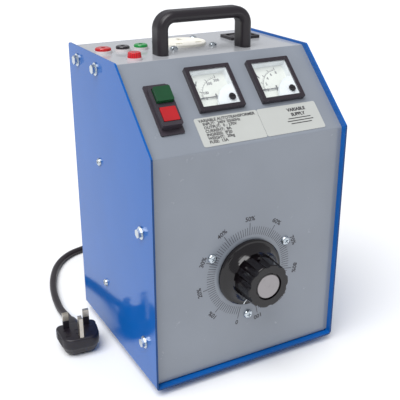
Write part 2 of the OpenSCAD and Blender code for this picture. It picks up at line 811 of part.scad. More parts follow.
// Arm with its clamping hub, the brush slot and the stop finger
module brush_arm() {
    color([0.70, 0.70, 0.69]) in_case() at_variac() rotate([0, 0, -brush_rest]) difference() {
        union() {
            translate([0, 0, arm_z - arm_t]) cylinder(r = 13, h = arm_t + 4);
            translate([-8, 0, arm_z - arm_t]) cube([16, track_r + 9, arm_t]);
            translate([-3.8, stop_r - 3, arm_z - eps]) cube([7.6, 6, 7]);
            translate([-5, track_r - 7, arm_z - eps]) cube([10, 14, 10]);
        }
        translate([0, 0, arm_z - arm_t - 1]) cylinder(r = shaft_d / 2 + fit / 2, h = 20);
        translate([-2.4, track_r - 4.4, arm_z - 1]) cube([4.8, 8.8, 20]);
    }
}

module carbon_brush() {
    color([0.12, 0.12, 0.12]) in_case() at_variac() rotate([0, 0, -brush_rest])
        translate([-2.1, track_r - 4.1, clamp_z - 9.3]) cube([4.2, 8.2, 9]);
}

module brush_spring() {
    turns = 4;
    low = arm_z - 1 + 0.35;
    high = clamp_z - 9.3 - 0.35;
    path = [for (k = [0:turns * 8]) [1.6 * cos(k * 45), track_r + 1.6 * sin(k * 45),
        low + (high - low) * k / (turns * 8)]];
    color([0.72, 0.62, 0.35]) in_case() at_variac() rotate([0, 0, -brush_rest])
        swept(path, 0.3, 6);
}

module collector_disc() {
    color([0.78, 0.60, 0.28]) in_case() at_variac()
        ring(24, shaft_d / 2 + fit / 2, disc_z - 1.5, disc_z + 1);
}

// Fixed brush that takes the current off the collector, held by the inner plate
module takeoff_brush() {
    gap = 0.35;
    face = inner_plate_y - panel_y;
    color([0.76, 0.58, 0.30]) in_case() at_variac() for (x = [-18, 18])
        translate([x, 0, 0]) {
            translate([0, 0, -face]) cylinder(r = 4, h = 5);
            translate([0, 0, -face]) cylinder(r = 2.5, h = face + disc_z - 1.5 - gap);
        }
}

// ---- Start and stop switch -------------------------------------------------------

module switch_frame() {
    color([0.20, 0.18, 0.20]) in_case() at_switch() difference() {
        union() {
            slab(rounded_box(switch_w, switch_l, 1.5), 0, switch_t);
            slab(rounded_box(frame_w, frame_l, 1.2), switch_t - eps, frame_h);
        }
        translate([0, start_y, 0]) slab(box_outline(start_size[0] + 0.8, start_size[1] + 0.8),
            -1, frame_h + 1);
        translate([0, stop_y, 0]) slab(box_outline(stop_size[0] + 0.8, stop_size[1] + 0.8),
            -1, frame_h + 1);
    }
}

module switch_body() {
    color([0.16, 0.16, 0.17]) in_case() at_switch() difference() {
        slab(rounded_box(switch_w - 4, switch_l - 7, 1), -switch_depth, 0);
        for (y = [start_y, stop_y]) translate([0, y, -stem_l - button_travel - 2])
            cylinder(r = stem_r + 0.35, h = 20);
    }
}

module push_button(size) {
    low = button_travel + 0.6;
    slab(rounded_box(size[0], size[1], 1), low, size[2]);
    translate([0, 0, -stem_l]) cylinder(r = stem_r, h = stem_l + low + 1);
}

module start_button() {
    color([0.07, 0.42, 0.20]) in_case() at_switch() translate([0, start_y, 0])
        push_button(start_size);
}

module stop_button() {
    color([0.80, 0.13, 0.15]) in_case() at_switch() translate([0, stop_y, 0])
        push_button(stop_size);
}

// ---- Meters ----------------------------------------------------------------------

module meter_cases() {
    seat = scale_top - scale_t;
    color([0.15, 0.14, 0.15]) in_case() at_meters() difference() {
        union() {
            slab(rounded_box(meter_w, meter_w, 1), 0, bezel_h);
            slab(rounded_box(meter_body_w, meter_body_w, 1), -meter_depth, eps);
        }
        slab(box_outline(window_w, window_w), seat, bezel_h + 1);
        slab(box_outline(window_w - 3, window_w - 3), movement_z, 0);
    }
}

module meter_windows() {
    color([0.85, 0.90, 0.92, 0.35]) in_case() at_meters() difference() {
        slab(box_outline(window_w - 2 * fit, window_w - 2 * fit), window_top - window_t,
            window_top);
        translate([zero_at[0], zero_at[1], 0]) cylinder(r = zero_shank_r + 0.05, h = bezel_h);
    }
}

module meter_scales() {
    color([0.88, 0.89, 0.87]) in_case() at_meters() difference() {
        slab(box_outline(window_w - 2 * fit, window_w - 2 * fit), scale_top - scale_t,
            scale_top);
        translate([pivot[0], pivot[1], -6]) cylinder(r = 1.6, h = 6);
    }
}

module meter_covers() {
    corner = [window_w / 2 - fit, -window_w / 2 + fit];
    color([0.93, 0.94, 0.94]) in_case() at_meters() difference() {
        intersection() {
            translate([corner[0], corner[1], -0.5]) cylinder(r = cover_r,
                h = window_top - window_t + 0.5 - 0.05);
            slab(box_outline(window_w - 2 * fit, window_w - 2 * fit), -2, bezel_h);
        }
        translate([zero_at[0], zero_at[1], 0.3]) cylinder(r = zero_shank_r + 0.05, h = bezel_h);
    }
}

module meter_movements() {
    top = scale_top - scale_t - 0.1;
    color([0.50, 0.50, 0.52]) in_case() at_meters() translate([pivot[0], pivot[1], 0])
        difference() {
            translate([0, 0, movement_z]) cylinder(r = 8, h = top - movement_z);
            translate([0, 0, movement_z + 4]) cylinder(r = arbor_r + 0.05, h = 30);
        }
}

module needle() {
    color([0.08, 0.08, 0.09]) translate([pivot[0], pivot[1], 0]) {
        translate([0, 0, movement_z + 4.5]) cylinder(r = arbor_r,
            h = needle_z + 0.6 - movement_z - 4.5);
        slab([[-needle_l, -0.25], [5, -0.9], [5, 0.9], [-needle_l, 0.25]], needle_z,
            needle_z + 0.5);
    }
}

module volt_needle() {
    in_case() at_voltmeter() needle();
}

module amp_needle() {
    in_case() at_ammeter() needle();
}

module zero_screw() {
    color([0.12, 0.11, 0.13]) translate([zero_at[0], zero_at[1], 0]) difference() {
        union() {
            translate([0, 0, window_top + 0.1]) cylinder(r = 3.5, h = 0.9);
            translate([0, 0, 0.8]) cylinder(r = zero_shank_r, h = window_top - 0.6);
        }
        translate([-2.4, -0.4, window_top + 0.5]) cube([4.8, 0.8, 2]);
    }
}

module volt_zero_screw() {
    in_case() at_voltmeter() zero_screw();
}

module amp_zero_screw() {
    in_case() at_ammeter() zero_screw();
}

// ---- Sockets, lamp and outlets ---------------------------------------------------

module test_socket(tint, i) {
    edge = 1.6;
    r = socket_r[i];
    color(tint) in_case() on_top(socket_x[i], socket_y) difference() {
        union() {
            translate([0, 0, ring_h]) rotate_extrude() polygon(concat([[0, 0]],
                rounded([[r, 0], [r, socket_h], [0, socket_h]], [0, edge, 0], 3)));
            translate([0, 0, -18]) cylinder(r = barrel_r, h = 18 + ring_h + eps);
        }
        translate([0, 0, -19]) cylinder(r = plug_d / 2 + 1.05, h = 19 + ring_h + socket_h - 1.5);
        translate([0, 0, -19]) cylinder(r = plug_d / 2 + 0.2, h = 40);
        for (x = [-1, 1]) translate([x * (r - edge - 1.5), 0, ring_h + socket_h - 1.5])
            cylinder(r = 0.7, h = 3);
    }
}

module socket_red() {
    test_socket([0.78, 0.12, 0.14], 0);
}

module socket_black() {
    test_socket([0.12, 0.12, 0.13], 1);
}

module socket_green() {
    test_socket([0.10, 0.50, 0.26], 2);
}

module socket_rings() {
    color([0.90, 0.90, 0.88]) in_case() for (i = [0:2]) on_top(socket_x[i], socket_y)
        ring(socket_r[i] + 0.6, barrel_r + fit, 0, ring_h);
}

module at_outlet_screws() {
    for (x = [-1, 1], y = [-1, 1]) translate([x * outlet_screw[0], y * outlet_screw[1], 0])
        children();
}

// Pin paths of the round outlet: the earth pin to the back, the other two in front
module at_outlet_pins(earth, line) {
    translate([0, pin_pitch / 2, 0]) slab(box_outline(earth[0], earth[1]), pin_floor, 9);
    for (x = [-1, 1]) translate([x * pin_pitch / 2, -pin_pitch / 2, 0])
        slab(box_outline(line[0], line[1]), pin_floor, 9);
}

module brass_contacts() {
    depth = 22;
    color([0.80, 0.65, 0.32]) in_case() {
        for (x = socket_x) on_top(x, socket_y) {
            ring(plug_d / 2 + 1, plug_d / 2, -depth, ring_h + socket_h - 1.6);
            translate([0, 0, -depth - 6]) cylinder(r = plug_d / 2 + 0.5, h = 7);
        }
        on_top(0, outlet_y) {
            translate([-1.5, pin_pitch / 2 + well_shift + earth_well[1] / 2 - strip_t, pin_floor])
                cube([3, strip_t, 16]);
            for (x = [-1, 1]) translate([x * pin_pitch / 2 - 2.5,
                -pin_pitch / 2 + well_shift + line_well[1] / 2 - strip_t, pin_floor])
                cube([5, strip_t, 16]);
        }
        on_top(iec_x, outlet_y + 3) for (p = [[-7, -2], [7, -2], [0, 2]])
            translate([p[0] - 0.8, p[1] - 1.9, -iec_depth - 6]) cube([0.9, 3.8, 20]);
    }
}

module lamp_body() {
    color([0.90, 0.88, 0.86]) in_case() on_top(lamp_x, lamp_y) {
        cylinder(d = lamp_d + 1.6, h = lamp_collar);
        translate([0, 0, -25]) cylinder(r = barrel_r, h = 25 + eps);
        translate([0, 0, lamp_collar - eps]) cylinder(r = lamp_d / 2 - 1.7, h = 2);
    }
}

module lamp_lens() {
    r = lamp_d / 2;
    color([0.85, 0.10, 0.12, 0.6]) in_case() on_top(lamp_x, lamp_y) difference() {
        translate([0, 0, lamp_collar + 0.05]) rotate_extrude() polygon(concat([[0, 0]],
            rounded([[r + 0.4, 0], [r - 0.3, 5], [0, 5]], [0, 1, 0], 4)));
        translate([0, 0, -1]) cylinder(r = r - 1.6, h = lamp_collar + 4);
    }
}

module outlet_face() {
    color([0.93, 0.92, 0.88]) in_case() on_top(0, outlet_y) difference() {
        union() {
            rotate_extrude() polygon(concat([[0, 0.02]], rounded([[outlet_d / 2, 0.02],
                [outlet_d / 2, outlet_h], [0, outlet_h]], [0, 0.8, 0], 3)));
            translate([0, 0, -3]) cylinder(r = outlet_r, h = 3 + 1);
        }
        at_outlet_pins(earth_slot, line_slot);
    }
}

// Turning safety shutter: it closes the two front slots until the earth pin turns it
module outlet_shutter() {
    r = outlet_r - 1.6;
    color([0.85, 0.85, 0.82]) in_case() on_top(0, outlet_y) difference() {
        intersection() {
            translate([0, 0, shutter_z]) cylinder(r = r, h = shutter_t);
            translate([-r, -r, -9]) cube([2 * r, r + 3.4, 9]);
        }
        for (x = [-1, 1]) rotate([0, 0, -shutter_turn])
            translate([x * pin_pitch / 2, -pin_pitch / 2, 0])
            slab(box_outline(line_slot[0] + 0.6, line_slot[1] + 0.6), -9, 9);
        translate([0, 0, -9]) cylinder(r = shutter_pin_r + 0.05, h = 9);
    }
}

module outlet_body() {
    seat = -3.05;
    flange = [2 * outlet_screw[0] + 11, 2 * outlet_screw[1] + 11];
    color([0.90, 0.88, 0.82]) in_case() on_top(0, outlet_y) {
        difference() {
            union() {
                slab(rounded_box(flange[0], flange[1], 3), -sheet_t - 3, -sheet_t);
                translate([0, 0, -outlet_depth]) cylinder(r = outlet_r + 0.1, h = 15);
                translate([0, 0, -outlet_depth]) cylinder(r = outlet_r + 0.1,
                    h = outlet_depth + seat);
            }
            at_outlet_screws() panel_hole(screw_d / 2 + 0.2, 6);
            translate([0, 0, seat]) cylinder(r = outlet_r + 0.15, h = 5);
            translate([0, 0, shutter_z - 0.3]) cylinder(r = outlet_r - 1, h = 5);
            translate([0, well_shift, 0]) at_outlet_pins(earth_well, line_well);
        }
        translate([0, 0, shutter_z - 0.3 - eps]) cylinder(r = shutter_pin_r, h = shutter_t + 0.5);
    }
}

module iec_outlet() {
    notch = 3.5;
    core = [[-iec_core[0] / 2, -iec_core[1] / 2], [iec_core[0] / 2, -iec_core[1] / 2],
        [iec_core[0] / 2, iec_core[1] / 2 - notch], [iec_core[0] / 2 - notch, iec_core[1] / 2],
        [-iec_core[0] / 2 + notch, iec_core[1] / 2], [-iec_core[0] / 2, iec_core[1] / 2 - notch]];
    wall = 1.2;
    color([0.13, 0.12, 0.13]) in_case() on_top(iec_x, outlet_y + 3) difference() {
        union() {
            slab(rounded_box(iec_w, iec_l, 1.5), 0, 3);
            slab(box_outline(iec_hole[0] + 2 * wall, iec_hole[1] + 2 * wall), -iec_depth, eps);
        }
        difference() {
            slab(rounded(box_outline(iec_hole[0], iec_hole[1]), [0, 0, notch, notch], 1), -16, 4);
            slab(core, -20, 2.4);
        }
        for (p = [[-7, -2], [7, -2], [0, 2]]) translate([p[0], p[1], 0])
            slab(box_outline(2.4, 5), -20, 4);
        for (p = [[-7, -2], [7, -2], [0, 2]]) translate([p[0] - 0.9, p[1] - 2, -iec_depth - 1])
            cube([1.1, 4, 10]);
    }
}

module rating_plate() {
    color([0.80, 0.80, 0.78]) in_case() on_slope(rating_x, rating_s)
        for (side = [-1, 1]) translate([side * (plate_w / 4 + 0.1), 0, 0])
            slab(rounded_box(plate_w / 2 - 0.2, plate_h, 2), eps, rating_t);
}

// ---- Wiring inside ---------------------------------------------------------------

module inner_wires() {
    strip_y = inner_plate_y + inner_plate_t + 16.4;
    color([0.25, 0.30, 0.55]) in_case() {
        swept([[relief_x, back_y - 6, 22], [relief_x, 170, 22], [relief_x, 164, 34],
            [52, 164, 60], [40, 163, 120], [31, 162, 158], [30, strip_y + 8, 169],
            [30, strip_y, 169]], 1.4, 6);
        swept([[-30, strip_y, 169], [-30, strip_y + 8, 169], [-34, 160, 190], [-60, 150, 218],
            [-80, 120, 232], [-80, 90, 236], [-76, 74, 238]], 1.4, 6);
    }
}

// ---- Mains lead ------------------------------------------------------------------

module cord_relief() {
    tip_r = cord_d / 2 + 1.4;
    root_r = cord_d / 2 + 4;
    color([0.14, 0.14, 0.15]) in_case() on_back(relief_x, relief_z - foot_h) {
        translate([0, 0, 3]) cylinder(r1 = root_r, r2 = tip_r, h = relief_l - 3);
        cylinder(r = root_r + 3, h = 3 + eps);
        translate([0, 0, -sheet_t - eps]) cylinder(r = root_r - 0.1, h = sheet_t + 2 * eps);
        translate([0, 0, -sheet_t - 3]) cylinder(r = root_r + 2, h = 3);
    }
}

module cord_lead() {
    color([0.17, 0.16, 0.18]) swept(lead_points, cord_d / 2, side = [1, 0, 0]);
}

module cord_trail() {
    color([0.17, 0.16, 0.18]) swept(trail_points, cord_d / 2);
}

// The wound-up part of the lead: an outer stack of turns, and an inner one that is a layer lower
module cord_coil() {
    r = cord_d / 2 - 0.1;
    top = coil_layers * cord_d;
    step = top - cord_d;
    color([0.17, 0.16, 0.18]) translate([coil_at[0], coil_at[1], tie_t]) rotate_extrude()
        polygon(rounded([[coil_r - cord_d, 0], [coil_r + cord_d, 0], [coil_r + cord_d, top],
            [coil_r, top], [coil_r, step], [coil_r - cord_d, step]], [r, r, r, r, 0, r], 4));
}

// The tie's corners, a distance outside the turns, with its slanted side over the lower stack
function tie_corners(out) =
    let (side = cord_d + 0.4, top = coil_layers * cord_d, slant = out * tan(22.5))
    [[-side - out, -out], [side + out, -out], [side + out, top + out],
        [cord_d - side - slant, top + out], [-side - out, top - cord_d + slant]];

module cord_tie() {
    color([0.10, 0.10, 0.10]) translate([coil_at[0], coil_at[1], tie_t]) rotate([0, 0, 200])
        translate([coil_r, 0, 0]) rotate([90, 0, 0]) difference() {
            linear_extrude(tie_l, center = true) polygon(tie_corners(tie_t));
            linear_extrude(tie_l + 2, center = true) polygon(tie_corners(0));
        }
}

module plug_body() {
    color([0.20, 0.19, 0.21]) at_plug() difference() {
        union() {
            hull() for (side = [-1, 1]) {
                for (c = plug_corners) translate([side * c[0], c[1], plug_axis_z])
                    cylinder(r = c[2], h = plug_h - plug_axis_z, $fn = 32);
                for (c = sole_corners) translate([side * c[0], c[1], 0])
                    cylinder(r = c[2], h = 2, $fn = 32);
            }
            translate([0, neck_y, plug_axis_z]) rotate([-90, 0, 0])
                cylinder(r1 = 9.2, r2 = 6.2, h = 42 - neck_y);
        }
        translate([0, -pin_pitch / 2, pin_root - fit]) slab(grown(earth_pin, 0.2), 0, plug_h);
        for (x = [-1, 1]) translate([x * pin_pitch / 2, pin_pitch / 2, pin_root - fit])
            slab(grown(line_pin, 0.2), 0, plug_h);
    }
}

module plug_pins() {
    color([0.70, 0.66, 0.60]) at_plug() {
        translate([0, -pin_pitch / 2, 0]) slab(grown(earth_pin), pin_root, plug_h + earth_pin_l);
        for (x = [-1, 1]) translate([x * pin_pitch / 2, pin_pitch / 2, 0]) {
            slab(grown(pin_core), pin_root, plug_h + sleeve_l + eps);
            slab(grown(line_pin), plug_h + sleeve_l, plug_h + line_pin_l);
        }
    }
}

module plug_sleeves() {
    color([0.10, 0.09, 0.10]) at_plug() for (x = [-1, 1])
        translate([x * pin_pitch / 2, pin_pitch / 2, 0]) difference() {
            slab(grown(line_pin), pin_root + fit, plug_h + sleeve_l - 0.05);
            slab(grown(pin_core, fit), pin_root - 1, plug_h + sleeve_l + 1);
        }
}

chassis();
front_panel();
back_panel();
inner_plate();
handle();
case_bolts();
case_washers();
panel_screws();
nuts();
rubber_feet();
terminal_boards();
inner_wires();
variac_base();
shaft_bushes();
core();
winding();
coil_clamp();
dial_screws();
shaft();
knob();
knob_cap();
knob_screw();
brush_arm();
carbon_brush();
brush_spring();
collector_disc();
takeoff_brush();
switch_frame();
switch_body();
start_button();
stop_button();
meter_cases();
meter_windows();
meter_scales();
meter_covers();
meter_movements();
volt_needle();
amp_needle();
volt_zero_screw();
amp_zero_screw();
socket_red();
socket_black();
socket_green();
socket_rings();
brass_contacts();
lamp_lens();
lamp_body();
outlet_face();
outlet_shutter();
outlet_body();
iec_outlet();
rating_plate();
cord_relief();
cord_lead();
cord_coil();
cord_tie();
cord_trail();
plug_body();
plug_pins();
plug_sleeves();
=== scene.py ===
import json
import math

import bmesh
import bpy
from mathutils import Matrix, Vector


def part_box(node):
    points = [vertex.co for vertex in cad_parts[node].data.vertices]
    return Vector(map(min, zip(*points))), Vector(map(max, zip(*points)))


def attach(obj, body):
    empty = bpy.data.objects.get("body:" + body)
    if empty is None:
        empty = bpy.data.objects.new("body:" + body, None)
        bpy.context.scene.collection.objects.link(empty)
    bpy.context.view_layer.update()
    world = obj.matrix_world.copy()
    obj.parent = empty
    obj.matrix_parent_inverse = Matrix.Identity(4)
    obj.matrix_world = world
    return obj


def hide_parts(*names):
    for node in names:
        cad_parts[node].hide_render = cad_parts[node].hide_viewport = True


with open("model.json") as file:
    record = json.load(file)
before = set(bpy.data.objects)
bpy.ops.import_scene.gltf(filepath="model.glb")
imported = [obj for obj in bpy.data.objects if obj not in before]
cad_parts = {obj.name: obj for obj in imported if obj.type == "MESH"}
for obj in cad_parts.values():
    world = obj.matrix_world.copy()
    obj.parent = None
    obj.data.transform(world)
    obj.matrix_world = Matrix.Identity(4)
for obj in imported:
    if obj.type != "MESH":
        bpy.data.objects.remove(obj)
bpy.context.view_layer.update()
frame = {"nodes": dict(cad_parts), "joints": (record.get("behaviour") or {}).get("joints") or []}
nodes = frame["nodes"]
joints = {j["name"]: j for j in frame["joints"]}
mm = 0.001

studio = {
    "eye": (-0.3493, -0.6122, 0.4522),
    "sight": (0.444, 0.809, -0.384),
    "lens": 65.5,
    "floorHalf": 12.0,
    "floorColor": (0.86, 0.865, 0.87, 1),
    "skyColor": (0.93, 0.95, 1.0, 1),
    "skyPower": 0.55,
    "sunPower": 3.0,
    "sunAngle": 50,
    "sunAim": (0.42, 0.24, -0.86),
}


def makeCamera():
    data = bpy.data.cameras.new("studioCamera")
    data.lens = studio["lens"]
    data.sensor_width = 36
    data.clip_start = 0.05
    data.clip_end = 50
    cam = bpy.data.objects.new("studioCamera", data)
    bpy.context.scene.collection.objects.link(cam)
    cam.rotation_mode = "QUATERNION"
    cam.rotation_quaternion = Vector(studio["sight"]).to_track_quat("-Z", "Y")
    cam.location = studio["eye"]
    bpy.context.scene.camera = cam


def makeLights():
    scene = bpy.context.scene
    scene.view_settings.view_transform = "Standard"
    world = bpy.data.worlds.new("studioSky")
    world.use_nodes = True
    sky = world.node_tree.nodes["Background"]
    sky.inputs["Color"].default_value = studio["skyColor"]
    sky.inputs["Strength"].default_value = studio["skyPower"]
    scene.world = world
    sun = bpy.data.lights.new("overheadLight", "SUN")
    sun.energy = studio["sunPower"]
    sun.angle = math.radians(studio["sunAngle"])
    lamp = bpy.data.objects.new("overheadLight", sun)
    lamp.rotation_mode = "QUATERNION"
    lamp.rotation_quaternion = Vector(studio["sunAim"]).to_track_quat("-Z", "Y")
    scene.collection.objects.link(lamp)


makeCamera()
makeLights()
print("camera and lights are set")

# a Value wraps a socket, a Finish makes one material's nodes


class Value:
    def __init__(self, finish, socket):
        self.finish = finish
        self.socket = socket

    def math(self, operation, first, second):
        node = self.finish.node("ShaderNodeMath", {"operation": operation}, {0: first, 1: second})
        return self.finish.out(node)

    def __add__(self, other):
        return self.math("ADD", self, other)

    def __radd__(self, other):
        return self.math("ADD", other, self)

    def __sub__(self, other):
        return self.math("SUBTRACT", self, other)

    def __rsub__(self, other):
        return self.math("SUBTRACT", other, self)

    def __mul__(self, other):
        return self.math("MULTIPLY", self, other)

    def __rmul__(self, other):
        return self.math("MULTIPLY", other, self)


class Finish:
    def __init__(self, name):
        self.material = bpy.data.materials.new(name)
        self.material.use_nodes = True
        self.tree = self.material.node_tree
        self.surface = self.tree.nodes["Principled BSDF"]
        self.spot = None

    def node(self, kind, settings=None, sockets=None):
        made = self.tree.nodes.new(kind)
        for key, value in (settings or {}).items():
            if key == "stops":
                ramp = made.color_ramp.elements
                while len(ramp) < len(value):
                    ramp.new(0.5)
                for stop, (place, tint) in zip(ramp, value):
                    stop.position = place
                    stop.color = tint
            else:
                setattr(made, key, value)
        for key, value in (sockets or {}).items():
            if isinstance(value, Value):
                self.tree.links.new(value.socket, made.inputs[key])
            else:
                made.inputs[key].default_value = value
        return made

    def out(self, node, name=0):
        return Value(self, node.outputs[name])

    def place(self):
        if self.spot is None:
            self.spot = self.out(self.node("ShaderNodeTexCoord"), "Object")
        return self.spot

    def part(self, axis):
        return self.out(self.node("ShaderNodeSeparateXYZ", None, {0: self.place()}), axis)

    def noise(self, scale, detail=3.0, rough=0.55, stretch=None):
        spot = self.place()
        if stretch:
            spot = self.out(self.node("ShaderNodeVectorMath", {"operation": "MULTIPLY"},
                                      {0: spot, 1: stretch}))
        return self.out(self.node("ShaderNodeTexNoise", None, {
            "Vector": spot, "Scale": scale, "Detail": detail, "Roughness": rough}), 0)

    def fade(self, value, low, high, first=0.0, last=1.0):
        return self.out(self.node("ShaderNodeMapRange", {"interpolation_type": "SMOOTHSTEP"}, {
            0: value, 1: low, 2: high, 3: first, 4: last}))

    def blend(self, mask, first, second):
        node = self.node("ShaderNodeMix", {"data_type": "RGBA"}, {0: mask, 6: first, 7: second})
        return self.out(node, 2)

    def bump(self, height, distance, strength=1.0):
        node = self.node("ShaderNodeBump", None, {
            "Strength": strength, "Distance": distance, "Height": height})
        return self.out(node)

    def set(self, sockets):
        for key, value in sockets.items():
            if isinstance(value, Value):
                self.tree.links.new(value.socket, self.surface.inputs[key])
            else:
                self.surface.inputs[key].default_value = value
        return self.material


def srgb(r, g, b):
    return tuple(((c / 255 + 0.055) / 1.055) ** 2.4 if c > 10 else c / 255 / 12.92
                 for c in (r, g, b)) + (1,)


def shade(color, factor):
    return tuple(min(1, c * factor) for c in color[:3]) + (1,)


def plane(origin, right, up):
    x, y = Vector(right).normalized(), Vector(up).normalized()
    m = Matrix.Identity(4)
    for i, column in enumerate((x, y, x.cross(y), Vector(origin))):
        for row in range(3):
            m[row][i] = column[row]
    return m


def newPiece(name, bm, body, material):
    bmesh.ops.recalc_face_normals(bm, faces=bm.faces)
    mesh = bpy.data.meshes.new(name)
    bm.to_mesh(mesh)
    bm.free()
    piece = bpy.data.objects.new(name, mesh)
    bpy.context.scene.collection.objects.link(piece)
    mesh.materials.append(material)
    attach(piece, body)
    return piece


def bar(bm, where, start, end, width, thick):
    a, b = Vector(start), Vector(end)
    along = (b - a).normalized()
    side = Vector((-along.y, along.x)) * width / 2
    corners = [a - side, b - side, b + side, a + side]
    low = [bm.verts.new(where @ Vector((p.x, p.y, 0))) for p in corners]
    high = [bm.verts.new(where @ Vector((p.x, p.y, thick))) for p in corners]
    bm.faces.new(low[::-1])
    bm.faces.new(high)
    for i in range(4):
        j = (i + 1) % 4
        bm.faces.new((low[i], low[j], high[j], high[i]))


def arc(bm, where, radius, first, last, width, thick, steps=24):
    ring = []
    for k in range(steps + 1):
        a = math.radians(first + (last - first) * k / steps)
        ring.append([bm.verts.new(where @ Vector((r * math.cos(a), r * math.sin(a), z)))
                     for r, z in ((radius - width / 2, 0), (radius + width / 2, 0),
                                  (radius + width / 2, thick), (radius - width / 2, thick))])
    for one, two in zip(ring, ring[1:]):
        for i in range(4):
            j = (i + 1) % 4
            bm.faces.new((one[i], one[j], two[j], two[i]))
    bm.faces.new(ring[0])
    bm.faces.new(ring[-1][::-1])


def lettering(bm, where, words, size, thick, align="CENTER", weight=0.0):
    curve = bpy.data.curves.new("words", "FONT")
    curve.body = words
    curve.size = size
    curve.align_x = align
    curve.align_y = "CENTER"
    curve.extrude = thick / 2
    curve.offset = weight
    curve.resolution_u = 3
    holder = bpy.data.objects.new("words", curve)
    bpy.context.scene.collection.objects.link(holder)
    bpy.context.view_layer.update()
    deps = bpy.context.evaluated_depsgraph_get()
    mesh = bpy.data.meshes.new_from_object(holder.evaluated_get(deps))
    mesh.transform(where @ Matrix.Translation((0, 0, thick / 2)))
    bm.from_mesh(mesh)
    bpy.data.objects.remove(holder)
    bpy.data.meshes.remove(mesh)
    bpy.data.curves.remove(curve)


def loft(bm, rings):
    made = [[bm.verts.new(p) for p in ring] for ring in rings]
    count = len(made[0])
    for one, two in zip(made, made[1:]):
        for i in range(count):
            j = (i + 1) % count
            bm.faces.new((one[i], one[j], two[j], two[i]))
    bm.faces.new(made[0][::-1])
    bm.faces.new(made[-1])


def paintFinish(name, look):
    f = Finish(name)
    cloud = f.noise(look.get("cloudScale", 14), 2)
    peel = f.noise(look["peelScale"], 2, 0.5)
    dust = f.fade(f.noise(90, 5, 0.7), 0.62, 0.8)
    base = f.blend(f.fade(cloud, 0.3, 0.7), shade(look["color"], 0.965), shade(look["color"], 1.03))
    base = f.blend(dust * look.get("dust", 0.05), base, (0.6, 0.62, 0.64, 1))
    # painted light on the faces that look up, painted shade on the edges that look forward
    faced = f.out(f.node("ShaderNodeTexCoord"), "Normal")
    up = f.fade(f.out(f.node("ShaderNodeSeparateXYZ", None, {0: faced}), "Z"), 0.9, 0.99)
    ahead = f.fade(f.out(f.node("ShaderNodeSeparateXYZ", None, {0: faced}), "Y"), -0.6, -0.95)
    base = f.blend(up * look.get("paintedTopLight", 0.0), base, (0.62, 0.62, 0.63, 1))
    base = f.blend(ahead * look.get("paintedFrontShade", 0.0), base, shade(look["color"], 0.1))
    rough = look["rough"] + dust * 0.08 + cloud * 0.03
    return f.set({
        "Base Color": base, "Roughness": rough, "IOR": look.get("ior", 1.5),
        "Coat Weight": look.get("coat", 0.0), "Coat Roughness": 0.04,
        "Normal": f.bump(peel, look["peel"])})


def mouldedFinish(name, look):
    f = Finish(name)
    grain = f.noise(look.get("grainScale", 2600), 2, 0.6)
    cloud = f.noise(look.get("cloudScale", 60), 3)
    rub = f.fade(f.noise(240, 4, 0.65), 0.55, 0.75)
    base = f.blend(f.fade(cloud, 0.3, 0.7), shade(look["color"], 0.93), shade(look["color"], 1.06))
    rough = look["rough"] + rub * 0.07 + grain * 0.04
    return f.set({
        "Base Color": base, "Roughness": rough, "IOR": look.get("ior", 1.48),
        "Coat Weight": look.get("coat", 0.0), "Coat Roughness": 0.06,
        "Normal": f.bump(grain, look.get("grain", 0.00002))})


def metalFinish(name, look):
    f = Finish(name)
    brushed = f.noise(look.get("brushScale", 900), 4, 0.6, look.get("stretch", (1, 1, 1)))
    stain = f.fade(f.noise(look.get("stainScale", 120), 4), 0.5, 0.72)
    base = f.blend(stain * look.get("stain", 0.4), look["color"], shade(look["color"], 0.72))
    rough = look["rough"] + brushed * 0.14 + stain * 0.1
    return f.set({
        "Base Color": base, "Metallic": 1.0, "Roughness": rough,
        "Normal": f.bump(brushed, look.get("brush", 0.00001))})


def castFinish(name, look):
    f = Finish(name)
    sand = f.noise(700, 5, 0.65)
    base = f.blend(f.fade(sand, 0.3, 0.7), shade(look["color"], 0.8), look["color"])
    return f.set({
        "Base Color": base, "Metallic": 0.9, "Roughness": 0.42 + sand * 0.2,
        "Normal": f.bump(sand, 0.00012)})


def windingFinish(name, look):
    f = Finish(name)
    x, z = f.part("X"), f.part("Z")
    turn = f.out(f.node("ShaderNodeMath", {"operation": "ARCTAN2"},
                        {0: z - look["axisHeight"], 1: x}))
    wave = f.out(f.node("ShaderNodeMath", {"operation": "SINE"}, {0: turn * look["turns"]}))
    ridge = f.fade(wave, -1.0, 1.0)
    varnish = f.noise(160, 3)
    # the gaps between the turns are painted darker: painted shade between the wires
    base = f.blend(ridge, shade(look["color"], 0.35), look["color"])
    return f.set({
        "Base Color": base, "Metallic": 0.75, "Roughness": 0.24 + varnish * 0.12,
        "Coat Weight": 0.6, "Coat Roughness": 0.15, "Normal": f.bump(ridge, 0.0004)})


def rubberFinish(name, look):
    f = Finish(name)
    pits = f.noise(1800, 3, 0.6)
    bloom = f.fade(f.noise(70, 4), 0.45, 0.75)
    base = f.blend(bloom * 0.35, look["color"], shade(look["color"], 1.8))
    return f.set({
        "Base Color": base, "Roughness": look["rough"] + bloom * 0.12,
        "IOR": 1.48, "Normal": f.bump(pits, look.get("pits", 0.00004))})


def glassFinish(name, look):
    f = Finish(name)
    smear = f.fade(f.noise(60, 3), 0.5, 0.8)
    return f.set({
        "Base Color": look["color"], "Roughness": look["rough"] + smear * 0.05,
        "IOR": 1.49, "Alpha": look["alpha"] + smear * 0.02})


